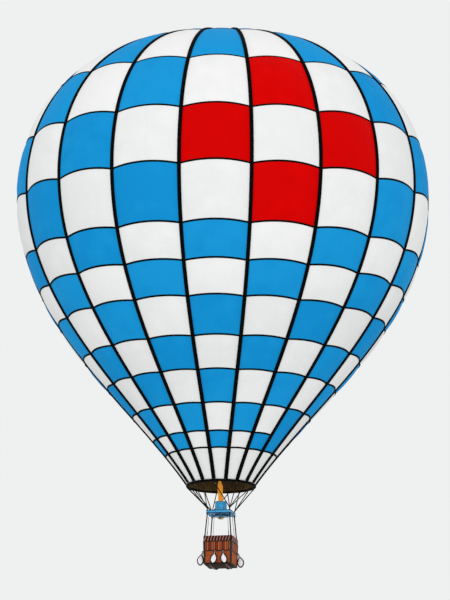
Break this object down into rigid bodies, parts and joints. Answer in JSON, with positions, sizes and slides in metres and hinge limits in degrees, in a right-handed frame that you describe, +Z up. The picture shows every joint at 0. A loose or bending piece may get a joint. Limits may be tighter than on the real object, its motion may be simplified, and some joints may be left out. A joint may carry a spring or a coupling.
{
  "type": "hot air balloon",
  "caption": "Hot air balloon: a chequered gored envelope with a sliding crown vent, gimballed burner, load frame and a wicker basket hung with sandbags.",
  "frame": {"origin": "on the balloon's axis in the plane of the envelope's widest circle, the centre of lift", "axes": "+Z up along the axis to the crown, -Y out through the basket's front face, +X to the right seen from the front"},
  "size_m": [16.6648, 16.5112, 21.6363],
  "materials": {
    "ripstop_white": "smooth coated ripstop, soft sheen",
    "ripstop_blue": "smooth coated ripstop, soft sheen",
    "ripstop_red": "smooth coated ripstop, soft sheen",
    "webbing_black": "matt woven webbing",
    "crown_ring_alloy": "turned, satin",
    "rigging_steel": "dark sleeve over wire, dull",
    "frame_blue_enamel": "gloss enamel",
    "gimbal_dark_blue": "gloss enamel",
    "burner_coil_steel": "heat-tinted",
    "valve_brass": "blackened",
    "pole_sleeve_black": "matt padded sleeve",
    "wicker_chestnut": "varnished willow",
    "rim_oxblood_leather": "laced, semi-matt",
    "edging_black_leather": "semi-matt",
    "plywood": "oiled",
    "sandbag_canvas": "matt canvas",
    "cylinder_alloy": "brushed"
  },
  "bodies": {
    "balloon": {"gore_01": "ripstop_white", "gore_02": "ripstop_white", "gore_03": "ripstop_white", "gore_04": "ripstop_white", "gore_05": "ripstop_white", "gore_06": "ripstop_white", "gore_07": "ripstop_white", "gore_08": "ripstop_white", "gore_09": "ripstop_white", "gore_10": "ripstop_white", "gore_11": "ripstop_white", "gore_12": "ripstop_white", "gore_13": "ripstop_white", "gore_14": "ripstop_white", "gore_15": "ripstop_white", "gore_16": "ripstop_white", "gore_17": "ripstop_white", "gore_18": "ripstop_white", "load_tapes": "webbing_black", "mouth_hem": "webbing_black", "crown_ring": "crown_ring_alloy", "flying_wires_front_left": "rigging_steel", "flying_wires_front_right": "rigging_steel", "flying_wires_back_left": "rigging_steel", "flying_wires_back_right": "rigging_steel", "load_frame": "frame_blue_enamel", "upright_front_left": "pole_sleeve_black", "upright_front_right": "pole_sleeve_black", "upright_back_left": "pole_sleeve_black", "upright_back_right": "pole_sleeve_black", "basket_stay_front_left": "rigging_steel", "basket_stay_front_right": "rigging_steel", "basket_stay_back_left": "rigging_steel", "basket_stay_back_right": "rigging_steel", "basket_wall_front": "wicker_chestnut", "basket_wall_right": "wicker_chestnut", "basket_wall_back": "wicker_chestnut", "basket_wall_left": "wicker_chestnut", "basket_floor": "plywood", "skid_left": "plywood", "skid_right": "plywood", "basket_edging": "edging_black_leather", "basket_rim": "rim_oxblood_leather", "sandbag_front_left": "sandbag_canvas", "sandbag_front_right": "sandbag_canvas", "sandbag_back_left": "sandbag_canvas", "sandbag_back_right": "sandbag_canvas", "sandbag_side_left": "sandbag_canvas", "sandbag_side_right": "sandbag_canvas", "fuel_cylinder_front_left": "cylinder_alloy", "fuel_cylinder_back_right": "cylinder_alloy"},
    "parachute": {"parachute_vent": "ripstop_blue"},
    "gimbal": {"gimbal_ring": "gimbal_dark_blue"},
    "burner": {"burner_can": "frame_blue_enamel", "vaporiser_coil": "burner_coil_steel", "valve_block": "valve_brass"}
  },
  "joints": [
    {"name": "parachute_slide", "type": "slide", "parent": "balloon", "child": "parachute", "axis": [0, 0, 1], "range_m": [-1.2, 0], "stiffness_N_per_m": 150, "springref_m": 2},
    {"name": "gimbal_tip", "type": "hinge", "parent": "balloon", "child": "gimbal", "pos_m": [0, 0, -12.86], "axis": [1, 0, 0], "range_deg": [-12, 12]},
    {"name": "burner_tip", "type": "hinge", "parent": "gimbal", "child": "burner", "pos_m": [0, 0, -12.86], "axis": [0, 1, 0], "range_deg": [-12, 12]}
  ]
}
